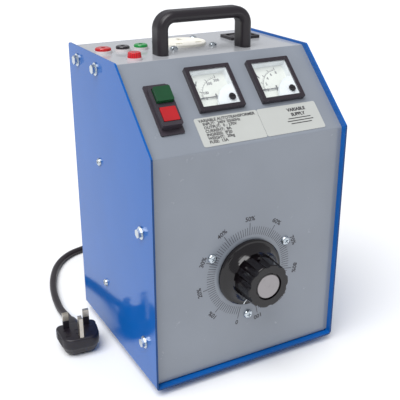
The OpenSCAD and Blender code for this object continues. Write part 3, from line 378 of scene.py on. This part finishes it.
def lensFinish(name, look):
    f = Finish(name)
    x = f.part("X") - look["middle"][0]
    y = f.part("Y") - look["middle"][1]
    turn = f.out(f.node("ShaderNodeMath", {"operation": "ARCTAN2"}, {0: y, 1: x}))
    flutes = f.out(f.node("ShaderNodeMath", {"operation": "SINE"}, {0: turn * 20}))
    ridge = f.fade(flutes, -1.0, 1.0)
    # the flutes' grooves are painted darker: painted shade in the grooves
    deep = f.blend(ridge, shade(look["color"], 0.55), look["color"])
    return f.set({
        "Base Color": deep, "Roughness": 0.1 + ridge * 0.05, "IOR": 1.49,
        "Emission Color": look["color"], "Emission Strength": 0.08,
        "Normal": f.bump(ridge, 0.0002)})


def cardFinish(name, look):
    f = Finish(name)
    fibre = f.noise(1500, 3)
    tone = f.noise(40, 2)
    base = f.blend(f.fade(tone, 0.3, 0.7), shade(look["color"], 0.97), look["color"])
    return f.set({
        "Base Color": base, "Roughness": look["rough"] + fibre * 0.1,
        "Metallic": look.get("metal", 0.0), "Normal": f.bump(fibre, 0.00001)})


def strandFinish(name, look):
    f = Finish(name)
    lay = f.noise(420, 3, 0.6)
    wipe = f.fade(f.noise(35, 3), 0.4, 0.7)
    base = f.blend(wipe * 0.5, look["color"], shade(look["color"], 1.45))
    return f.set({
        "Base Color": base, "Roughness": look["rough"] + wipe * 0.1,
        "IOR": 1.47, "Normal": f.bump(lay, 0.00003)})


looks = {
    # bluePaint: the edges that look forward are darkened almost to black, painted shade
    "bluePaint": {"color": srgb(12, 90, 168), "rough": 0.08, "peelScale": 330, "peel": 0.000012,
                  "ior": 1.36, "dust": 0.02, "paintedFrontShade": 0.62},
    # the back panel's blue, painted as the darker navy it shows in shade: painted shade
    "shadedBluePaint": {"color": srgb(16, 44, 96), "rough": 0.2, "peelScale": 420, "peel": 0.00003},
    # greyPaint: the faces that look up are lightened towards pale grey, painted light
    "greyPaint": {"color": srgb(129, 135, 144), "rough": 0.24, "peelScale": 900,
                  "peel": 0.00003, "ior": 1.5, "coat": 0.4, "paintedTopLight": 0.5},
    "handleBlack": {"color": srgb(26, 20, 26), "rough": 0.34, "grain": 0.00004},
    "boardBrown": {"color": srgb(92, 52, 30), "rough": 0.5},
    "knobBlack": {"color": srgb(12, 8, 11), "rough": 0.1, "grain": 0.000004, "ior": 1.5},
    "switchBlack": {"color": srgb(50, 43, 51), "rough": 0.38},
    "buttonGreen": {"color": srgb(8, 66, 34), "rough": 0.3},
    "buttonRed": {"color": srgb(166, 18, 26), "rough": 0.32},
    "meterBlack": {"color": srgb(40, 33, 40), "rough": 0.22, "grain": 0.000006},
    "meterWhite": {"color": srgb(226, 231, 233), "rough": 0.25, "grain": 0.000004},
    "needleBlack": {"color": srgb(28, 24, 28), "rough": 0.4},
    "liftRed": {"color": srgb(186, 24, 26), "rough": 0.18, "coat": 0.3},
    "liftBlack": {"color": srgb(34, 28, 34), "rough": 0.16, "coat": 0.3},
    "liftGreen": {"color": srgb(18, 140, 62), "rough": 0.18, "coat": 0.3},
    "ringWhite": {"color": srgb(222, 216, 216), "rough": 0.3},
    "lampPale": {"color": srgb(224, 200, 204), "rough": 0.3},
    "cream": {"color": srgb(250, 246, 234), "rough": 0.28, "grain": 0.00001},
    "outletBlack": {"color": srgb(38, 33, 36), "rough": 0.35},
    "plugBlack": {"color": srgb(24, 19, 26), "rough": 0.36, "grain": 0.00003},
    "carbon": {"color": srgb(30, 30, 30), "rough": 0.6},
    "zinc": {"color": srgb(196, 204, 210), "rough": 0.12, "stain": 0.5, "stainScale": 260},
    "plainSteel": {"color": srgb(190, 192, 194), "rough": 0.28, "stretch": (1, 1, 12)},
    "coreSteel": {"color": srgb(120, 118, 114), "rough": 0.4, "stretch": (1, 14, 1)},
    "bronze": {"color": srgb(186, 140, 72), "rough": 0.3},
    "brass": {"color": srgb(206, 172, 92), "rough": 0.2},
    "pinMetal": {"color": srgb(196, 188, 174), "rough": 0.24, "stretch": (1, 1, 8)},
    "capSilver": {"color": srgb(160, 156, 157), "rough": 0.4, "stain": 0.15},
    "labelSilver": {"color": srgb(186, 188, 184), "rough": 0.42, "metal": 0.1},
    "dialWhite": {"color": srgb(222, 225, 216), "rough": 0.6},
    "printBlack": {"color": srgb(36, 32, 38), "rough": 0.5},
    "wireBlue": {"color": srgb(60, 76, 140), "rough": 0.4},
    "cordBlack": {"color": srgb(34, 28, 33), "rough": 0.38},
    "footRubber": {"color": srgb(26, 26, 28), "rough": 0.7},
    "castAlloy": {"color": srgb(170, 170, 166)},
    "copper": {"color": srgb(190, 106, 50), "turns": 240,
               "axisHeight": joints["knob_turn"]["pos_m"][2]},
    "clearWindow": {"color": (0.92, 0.96, 1.0, 1), "rough": 0.03, "alpha": 0.1},
    "lampRed": {"color": srgb(206, 24, 36), "middle": sum(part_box("lamp_lens"), Vector()) / 2},
}
families = {
    paintFinish: ["bluePaint", "shadedBluePaint", "greyPaint"],
    mouldedFinish: ["handleBlack", "boardBrown", "knobBlack", "switchBlack", "buttonGreen",
                    "buttonRed", "meterBlack", "meterWhite", "needleBlack", "liftRed",
                    "liftBlack", "liftGreen", "ringWhite", "lampPale", "cream", "outletBlack",
                    "plugBlack", "carbon"],
    metalFinish: ["zinc", "plainSteel", "coreSteel", "bronze", "brass", "pinMetal", "capSilver"],
    cardFinish: ["labelSilver", "dialWhite", "printBlack"],
    strandFinish: ["wireBlue", "cordBlack"],
    rubberFinish: ["footRubber"],
    castFinish: ["castAlloy"],
    windingFinish: ["copper"],
    glassFinish: ["clearWindow"],
    lensFinish: ["lampRed"],
}
finishes = {name: make(name, looks[name]) for make, names in families.items() for name in names}

wearing = {
    "bluePaint": ["chassis"],
    "shadedBluePaint": ["back_panel"],
    "greyPaint": ["front_panel"],
    "handleBlack": ["handle"],
    "zinc": ["case_bolts", "case_washers", "panel_screws", "nuts", "dial_screws"],
    "plainSteel": ["inner_plate", "shaft", "meter_movements"],
    "footRubber": ["rubber_feet"],
    "boardBrown": ["terminal_boards"],
    "wireBlue": ["inner_wires"],
    "castAlloy": ["variac_base", "coil_clamp", "brush_arm"],
    "bronze": ["shaft_bushes", "brush_spring"],
    "coreSteel": ["core"],
    "copper": ["winding"],
    "knobBlack": ["knob"],
    "capSilver": ["knob_cap"],
    "brass": ["knob_screw", "collector_disc", "takeoff_brush", "brass_contacts"],
    "carbon": ["carbon_brush"],
    "switchBlack": ["switch_frame", "switch_body"],
    "buttonGreen": ["start_button"],
    "buttonRed": ["stop_button"],
    "meterBlack": ["meter_cases"],
    "clearWindow": ["meter_windows"],
    "dialWhite": ["meter_scales"],
    "meterWhite": ["meter_covers"],
    "needleBlack": ["volt_needle", "amp_needle", "volt_zero_screw", "amp_zero_screw"],
    "liftRed": ["socket_red"],
    "liftBlack": ["socket_black"],
    "liftGreen": ["socket_green"],
    "ringWhite": ["socket_rings"],
    "lampRed": ["lamp_lens"],
    "lampPale": ["lamp_body"],
    "cream": ["outlet_face", "outlet_shutter", "outlet_body"],
    "outletBlack": ["iec_outlet"],
    "labelSilver": ["rating_plate"],
    "cordBlack": ["cord_relief", "cord_lead", "cord_coil", "cord_trail"],
    "plugBlack": ["cord_tie", "plug_body", "plug_sleeves"],
    "pinMetal": ["plug_pins"],
}
for finish, worn in wearing.items():
    for node in worn:
        nodes[node].data.materials.clear()
        nodes[node].data.materials.append(finishes[finish])
print("finishes are on", sum(len(v) for v in wearing.values()), "nodes")

lead = {
    "diameter": 8.4,
    "start": [(56, 146, 30), (56, 158, 29.6), (56, 172, 28.2), (56, 186, 25.8),
              (56, 200, 23.2), (56, 214, 21.6)],
    "coilMiddle": (3.8, 214),
    "turnRadius": 48,
    "lift": 0.6,
    "outAngle": 100,
    "step": 7.5,
    # angles between which the lead moves in (-1) or out (1), and down a layer
    "sideMoves": [(590, 670, -1), (1180, 1260, 1)],
    "downMoves": [(310, 360), (900, 950)],
    "end": [(-5.3, 265.4, 4.8), (-24, 262, 4.2), (-43, 258.8, 4.2), (-61, 255, 4.2),
            (-76, 250, 4.2), (-89, 241.5, 4.2), (-100, 230, 4.2), (-110, 215, 4.2),
            (-118.5, 197, 4.2), (-126, 176, 4.2), (-131.5, 154, 4.2), (-135, 132, 4.2),
            (-136.5, 118, 4.8), (-137, 106, 6.2), (-137.2, 95, 8.4), (-137.6, 85, 10.4),
            (-138.1, 76.8, 11)],
}


def easing(angle, first, last):
    share = min(1, max(0, (angle - first) / (last - first)))
    return (1 - math.cos(math.pi * share)) / 2


def coilRoute():
    # top outer, middle outer, middle inner, bottom inner, bottom outer
    d = lead["diameter"]
    cx, cy = lead["coilMiddle"]
    whole = 4 * 360 + lead["outAngle"]
    points = []
    for k in range(1, int(whole / lead["step"])):
        a = k * lead["step"]
        out = 1 + sum(way * easing(a, first, last) for first, last, way in lead["sideMoves"])
        layer = 2 - sum(easing(a, first, last) for first, last in lead["downMoves"])
        r = lead["turnRadius"] + d * (out - 0.5)
        t = math.radians(a)
        points.append((cx + r * math.cos(t), cy + r * math.sin(t),
                       lead["lift"] + d * (layer + 0.5)))
    return points


def smoothed(points, steps=4):
    # a curve through the points
    ends = [2 * Vector(points[0]) - Vector(points[1])] + [Vector(p) for p in points] + \
        [2 * Vector(points[-1]) - Vector(points[-2])]
    route = []
    for i in range(1, len(ends) - 2):
        p0, p1, p2, p3 = ends[i - 1:i + 3]
        for k in range(steps):
            t = k / steps
            route.append(0.5 * (2 * p1 + (p2 - p0) * t + (2 * p0 - 5 * p1 + 4 * p2 - p3) * t * t
                                + (3 * p1 - p0 - 3 * p2 + p3) * t ** 3))
    return route + [ends[-2]]


def makeCord():
    route = smoothed(lead["start"] + coilRoute() + lead["end"])
    points = [p * mm for p in route]
    curve = bpy.data.curves.new("mainsCord", "CURVE")
    curve.dimensions = "3D"
    curve.bevel_depth = lead["diameter"] * mm / 2
    curve.bevel_resolution = 5
    curve.use_fill_caps = True
    line = curve.splines.new("POLY")
    line.points.add(len(points) - 1)
    for spot, p in zip(line.points, points):
        spot.co = (*p, 1)
    line.use_smooth = True
    cord = bpy.data.objects.new("mainsCord", curve)
    bpy.context.scene.collection.objects.link(cord)
    curve.materials.append(finishes["cordBlack"])
    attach(cord, "case")
    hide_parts("cord_lead", "cord_coil", "cord_trail")
    length = sum((b - a).length for a, b in zip(points, points[1:]))
    print("cord is %.3f m long" % length)
    return cord, points[0], length


relief = {
    "x": 56,
    "z": 30,
    "root": 106,
    "tip": 146,
    "bore": 4.3,
    "rootRadius": 8.2,
    "tipRadius": 5.5,
    "collarRadius": 11.2,
    "collar": 3,
    "edge": 0.5,
    "ribs": 7,
    "groove": 1.1,
}


def makeRelief():
    # tapered sleeve with ribs, over a round collar
    x, z, bore, edge = relief["x"], relief["z"], relief["bore"], relief["edge"]
    root, foot, wide = relief["root"], relief["root"] + relief["collar"], relief["collarRadius"]
    profile = [(root, bore), (root, wide), (foot - edge, wide), (foot, wide - edge),
               (foot, relief["rootRadius"])]
    start, end = foot + 1, relief["tip"] - 1
    for k in range(relief["ribs"]):
        for share, sunk in ((0.0, 0), (0.55, 0), (0.62, relief["groove"]),
                            (0.93, relief["groove"])):
            t = (k + share) / relief["ribs"]
            r = relief["rootRadius"] + (relief["tipRadius"] - relief["rootRadius"]) * t
            profile.append((start + (end - start) * t, r - sunk * (1 - 0.35 * t)))
    profile += [(end, relief["tipRadius"]), (relief["tip"], relief["tipRadius"] - edge),
                (relief["tip"], bore)]
    rings = []
    for y, r in profile:
        rings.append([Vector((x + r * math.cos(a), y, z + r * math.sin(a))) * mm
                      for a in [math.tau * k / 32 for k in range(32)]])
    bm = bmesh.new()
    loft(bm, rings)
    return newPiece("reliefSleeve", bm, "case", finishes["plugBlack"])


cord, cordStart, cordLength = makeCord()
print("lead is laid")

plug = {
    "middle": (-142.5, 35),
    "turn": 6,
    "faceHeight": 23,
    "axisHeight": 11,
    # x, y and radius of the outline's corners
    "corners": [(15.3, 12.5, 6.6), (-15.3, 12.5, 6.6), (-8, -5, 12.1), (8, -5, 12.1)],
    # height, inset of the outline, shift to the back
    "levels": [(0, 7.5, 1.5), (0.6, 6.2, 1.2), (2.2, 4.6, 0.8), (4.5, 3.0, 0.4), (7.0, 1.9, 0.2),
               (9.6, 1.2, 0), (10.8, 0.5, 0), (11.6, 0.1, 0), (13, 0, 0), (20.6, 0, 0),
               (21.8, 0.25, 0), (22.6, 0.8, 0), (23.0, 1.7, 0)],
    "neck": [(13, 9.3), (24, 9.2), (30, 8.6), (36, 7.4), (40, 6.6), (42, 6.0)],
    "ribs": {"count": 6, "first": -6, "step": 2.7, "height": 16.5, "half": 4.5, "width": 1.2,
             "proud": 0.4},
    # short raised lines on the face
    "lines": [((-4, 3), (4, 3)), ((4, 3), (4, -5)), ((4, -5), (-4, -5)), ((-4, -5), (-4, 3)),
              ((-16, -7), (-10, -7)), ((10, -7), (16, -7)), ((-16, 4), (-13, 4)),
              ((13, 4), (16, 4))],
}


def plugMatrix():
    x, y = plug["middle"]
    return Matrix.Translation((x * mm, y * mm, 0)) @ Matrix.Rotation(
        math.radians(-plug["turn"]), 4, "Z")


def plugOutline(inset, shift, steps=10):
    points = []
    for i, (x, y, r) in enumerate(plug["corners"]):
        r = max(2.0, r - inset)
        for k in range(steps + 1):
            a = math.radians(90 * (i + k / steps))
            points.append(Vector((x + r * math.cos(a), y + shift + r * math.sin(a), 0)))
    return points


def makePlug():
    where = plugMatrix()
    bm = bmesh.new()
    rings = []
    for z, inset, shift in plug["levels"]:
        rings.append([where @ (Vector((p.x, p.y, z)) * mm) for p in plugOutline(inset, shift)])
    loft(bm, rings)
    neck = []
    for y, r in plug["neck"]:
        around = [math.tau * k / 28 for k in range(28)]
        neck.append([where @ (Vector((r * math.cos(a), y, plug["axisHeight"] + r * math.sin(a)))
                              * mm) for a in around])
    loft(bm, neck)
    ribs = plug["ribs"]
    for side in (-1, 1):
        for k in range(ribs["count"]):
            y = ribs["first"] + k * ribs["step"]
            x = side * (20.05 + (y + 5) * 0.1)  # the sides widen a little to the back
            rib = where @ plane(Vector((x, y, ribs["height"])) * mm, (0, 1, 0), (0, 0, 1))
            flip = Matrix.Rotation(math.pi if side < 0 else 0, 4, "Y")
            bar(bm, rib @ flip, (0, -ribs["half"] * mm), (0, ribs["half"] * mm),
                ribs["width"] * mm, ribs["proud"] * mm)
    top = where @ plane((0, 0, plug["faceHeight"] * mm - 0.00002), (1, 0, 0), (0, 1, 0))
    for a, b in plug["lines"]:
        bar(bm, top, Vector(a) * mm, Vector(b) * mm, 0.0005, 0.0003)
    shell = newPiece("plugShell", bm, "case", finishes["plugBlack"])
    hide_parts("plug_body")
    smoothByAngle(shell, 35)
    return shell


def smoothByAngle(piece, degrees):
    mesh = piece.data
    mesh.shade_smooth()
    bm = bmesh.new()
    bm.from_mesh(mesh)
    for edge in bm.edges:
        if len(edge.link_faces) == 2 and edge.calc_face_angle(0) > math.radians(degrees):
            edge.smooth = False
    bm.to_mesh(mesh)
    bm.free()


shell = makePlug()
sleeve = makeRelief()
smoothByAngle(sleeve, 30)
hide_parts("cord_relief")
print("plug and relief are made")

# the panels' own frames, from the joints and the boxes of the nodes

panelLow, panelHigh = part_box("front_panel")
inward = Vector(joints["start_press"]["axis"])
upSlope = Vector((0, -inward.z, inward.y))
shaft = joints["knob_turn"]["pos_m"]
dialPlane = plane((shaft[0], panelLow.y, shaft[2]), (1, 0, 0), (0, 0, 1))


def onSlope(origin):
    return plane(origin, (1, 0, 0), upSlope)


dial = {
    "zeroAngle": -167,
    "step": 3.34,
    "inner": 39.2,
    "outer": 47.6,
    "longOuter": 52.4,
    "numbers": 56.2,
    "fine": 0.46,
    "bold": 0.6,
    "size": 6.6,
    "weight": 0.00012,
    "ink": 0.00006,
}


def compass(radius, degrees):
    a = math.radians(degrees)
    return Vector((radius * math.sin(a), radius * math.cos(a))) * mm


def makeDial():
    marks = bmesh.new()
    words = bmesh.new()
    for k in range(101):
        a = dial["zeroAngle"] + dial["step"] * k
        long = k % 10 == 0
        bar(marks, dialPlane, compass(dial["inner"], a),
            compass(dial["longOuter"] if long else dial["outer"], a),
            (dial["bold"] if long else dial["fine"]) * mm, dial["ink"])
        if long:
            text = str(k) if k in (0, 100) else "%d%%" % k
            spot = compass(dial["numbers"], a)
            where = dialPlane @ Matrix.Translation((spot.x, spot.y, 0)) @ \
                Matrix.Rotation(math.radians(-a), 4, "Z")
            lettering(words, where, text, dial["size"] * mm, dial["ink"], weight=dial["weight"])
    newPiece("dialMarks", marks, "case", finishes["printBlack"])
    newPiece("dialNumbers", words, "case", finishes["printBlack"])


makeDial()
print("dial is printed")

meter = {
    "pivot": (10, -7.2, -2),
    "bladeZ": -2.2,
    "scaleTop": -3.4,
    "arc": 21.5,
    "window": 20,
    "ink": 0.00005,
    "line": 0.35,
    "boldLine": 0.7,
    "numberSize": 4.2,
    "unitSize": 7.2,
    "unitPlace": (-14.2, 9.5),
    "smallMarks": [(-9, 1.6), (-5.6, 0.8), (-2.2, 2.2)],
    "smallMarksY": -17.8,
    "liner": {"gap": 0.04, "wall": 0.55, "slant": 0.35, "low": 0.02, "high": 3.05},
    # start, end, width and thickness of the strokes of the needle's broad end
    "blade": [((-9, 0), (-24.2, 0), 0.9, 0.52), ((-8.3, -3.1), (-8.3, 3.1), 1.3, 0.54),
              ((-21.5, -0.9), (-21.5, 0.9), 0.6, 0.54)],
}
meterFaces = {
    "volt": {"joint": "volt_needle_swing", "unit": "V",
             "numbers": [(180, "0"), (161, "100"), (122, "200"), (93, "300")]},
    "amp": {"joint": "amp_needle_swing", "unit": "A",
            "numbers": [(180, "0"), (158, "2"), (136, "4"), (114, "6"), (93, "8")]},
}


def meterPlane(face):
    pivot = Vector(joints[face["joint"]]["pos_m"])
    m = onSlope(pivot)
    px, py, pz = meter["pivot"]
    return m @ Matrix.Translation((-px * mm, -py * mm, -pz * mm))


def makeScale(name, face):
    home = meterPlane(face)
    card = home @ Matrix.Translation((0, 0, meter["scaleTop"] * mm))
    px, py, _ = meter["pivot"]
    hub = card @ Matrix.Translation((px * mm, py * mm, 0))
    bm = bmesh.new()
    line, ink = meter["line"] * mm, meter["ink"]
    arc(bm, hub, meter["arc"] * mm, 92, 180, line, ink)
    spans = face["numbers"]
    for a, text in spans:
        t = math.radians(a)
        ray = Vector((math.cos(t), math.sin(t)))
        bar(bm, hub, ray * (meter["arc"] - 0.2) * mm, ray * (meter["arc"] + 3.0) * mm,
            meter["boldLine"] * mm, ink)
        spot = ray * (meter["arc"] - 3.2) * mm
        lettering(bm, hub @ Matrix.Translation((spot.x, spot.y, 0)), text,
                  meter["numberSize"] * mm, ink, weight=0.00012)
    for (a, _), (b, _) in zip(spans, spans[1:]):
        for k in range(1, 5):
            t = math.radians(a + (b - a) * k / 5)
            ray = Vector((math.cos(t), math.sin(t)))
            bar(bm, hub, ray * meter["arc"] * mm, ray * (meter["arc"] + 1.5) * mm, line, ink)
    x, y = meter["unitPlace"]
    lettering(bm, card @ Matrix.Translation((x * mm, y * mm, 0)), face["unit"],
              meter["unitSize"] * mm, ink, weight=0.00022)
    for x, width in meter["smallMarks"]:
        y = meter["smallMarksY"]
        bar(bm, card, (x * mm, y * mm), ((x + width) * mm, y * mm), meter["boldLine"] * mm, ink)
    newPiece(name + "ScalePrint", bm, "case", finishes["printBlack"])


def makeLiner(name, face):
    # pale walls inside the bezel, between the card and the window
    home = meterPlane(face)
    shape = meter["liner"]
    half = meter["window"] - shape["gap"]
    low, high = meter["scaleTop"] + shape["low"], shape["high"]
    inner = half - shape["wall"]
    bm = bmesh.new()
    rings = []
    for size, z in ((half, low), (half, high), (inner, high), (inner - shape["slant"], low)):
        rings.append([home @ (Vector((sx * size, sy * size, z)) * mm)
                      for sx, sy in ((-1, -1), (1, -1), (1, 1), (-1, 1))])
    made = [[bm.verts.new(p) for p in ring] for ring in rings]
    for one, two in zip(made, made[1:] + made[:1]):
        for i in range(4):
            j = (i + 1) % 4
            bm.faces.new((one[i], one[j], two[j], two[i]))
    newPiece(name + "MeterLiner", bm, "case", finishes["meterWhite"])


def makeNeedleTip(name, face, body):
    # broad end of the needle
    home = meterPlane(face)
    px, py, _ = meter["pivot"]
    hub = home @ Matrix.Translation((px * mm, py * mm, meter["bladeZ"] * mm))
    bm = bmesh.new()
    for start, end, width, thick in meter["blade"]:
        bar(bm, hub, Vector(start) * mm, Vector(end) * mm, width * mm, thick * mm)
    newPiece(name + "NeedleBlade", bm, body, finishes["needleBlack"])


for name, face in meterFaces.items():
    makeScale(name, face)
    makeLiner(name, face)
    makeNeedleTip(name, face, name + "_needle")
print("meters are printed")

plate = {
    "left": -63.5,
    "top": 11.6,
    "step": 3.75,
    "size": 4.2,
    "weight": 0.00013,
    "ink": 0.00005,
    "lines": ["VARIABLE AUTOTRANSFORMER", "   INPUT:  240V 50/60Hz", "   OUTPUT:  0 - 270V",
              "   CURRENT:  8A", "   INGRESS:  IP20", "   WEIGHT:  20kg", "   FUSE:  13A"],
    "heading": [("VARIABLE", 9.0, 4.816), ("SUPPLY", 3.6, 4.816)],
    "small": [(-0.4, 26), (-3.2, 30), (-6.0, 24)],
    "right": 43,
}


def makePlatePrint():
    low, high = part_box("rating_plate")
    face = (low + high) / 2
    where = onSlope(face) @ Matrix.Translation((0, 0, 0.00025))
    bm = bmesh.new()
    for k, line in enumerate(plate["lines"]):
        indent = 3 if line.startswith(" ") else 0
        spot = Matrix.Translation(((plate["left"] + indent) * mm,
                                   (plate["top"] - k * plate["step"]) * mm, 0))
        lettering(bm, where @ spot, line.strip(), plate["size"] * mm, plate["ink"], "LEFT",
                  plate["weight"])
    for text, y, size in plate["heading"]:
        lettering(bm, where @ Matrix.Translation((plate["right"] * mm, y * mm, 0)), text, size * mm,
                  plate["ink"], weight=0.00022)
    for y, width in plate["small"]:
        x = plate["right"]
        bar(bm, where, ((x - width / 2) * mm, y * mm), ((x + width / 2) * mm, y * mm), 0.0009,
            plate["ink"])
    newPiece("platePrint", bm, "case", finishes["printBlack"])


makePlatePrint()
print("rating plate is printed")

knobLine = {
    "angle": -167,
    "width": 1.0,
    "sunk": 0.15,
    "proud": 0.06,
    # radius and height of the skirt's face along the line
    "face": [(26.4, 9.0), (28, 7.35), (30, 5.95), (32, 4.98), (33.5, 4.55), (33.9, 4.5)],
}


def makeKnobLine():
    # index line on the skirt, following its dished face
    bm = bmesh.new()
    a = math.radians(knobLine["angle"])
    ray = Vector((math.sin(a), 0, math.cos(a)))
    side = Vector((math.cos(a), 0, -math.sin(a))) * knobLine["width"] / 2 * mm
    hub = Vector((shaft[0], panelLow.y, shaft[2]))
    rings = []
    for r, rise in knobLine["face"]:
        p = hub + ray * r * mm
        low = Vector((0, -(rise - knobLine["sunk"]) * mm, 0))
        high = Vector((0, -(rise + knobLine["proud"]) * mm, 0))
        rings.append([p - side + low, p + side + low, p + side + high, p - side + high])
    loft(bm, rings)
    newPiece("knobLine", bm, "rotor", finishes["meterWhite"])


makeKnobLine()
print("knob line is made")

def makeFloor():
    half = studio["floorHalf"]
    bm = bmesh.new()
    bmesh.ops.create_grid(bm, x_segments=2, y_segments=2, size=half)
    mesh = bpy.data.meshes.new("studioFloor")
    bm.to_mesh(mesh)
    bm.free()
    floor = bpy.data.objects.new("studioFloor", mesh)
    bpy.context.scene.collection.objects.link(floor)
    floor.location.z = -0.0001
    f = Finish("floorPaper")
    fibre = f.noise(300, 3)
    mesh.materials.append(f.set({
        "Base Color": studio["floorColor"], "Roughness": 0.7 + fibre * 0.1,
        "Normal": f.bump(fibre, 0.00002)}))


makeFloor()
print("floor is laid")
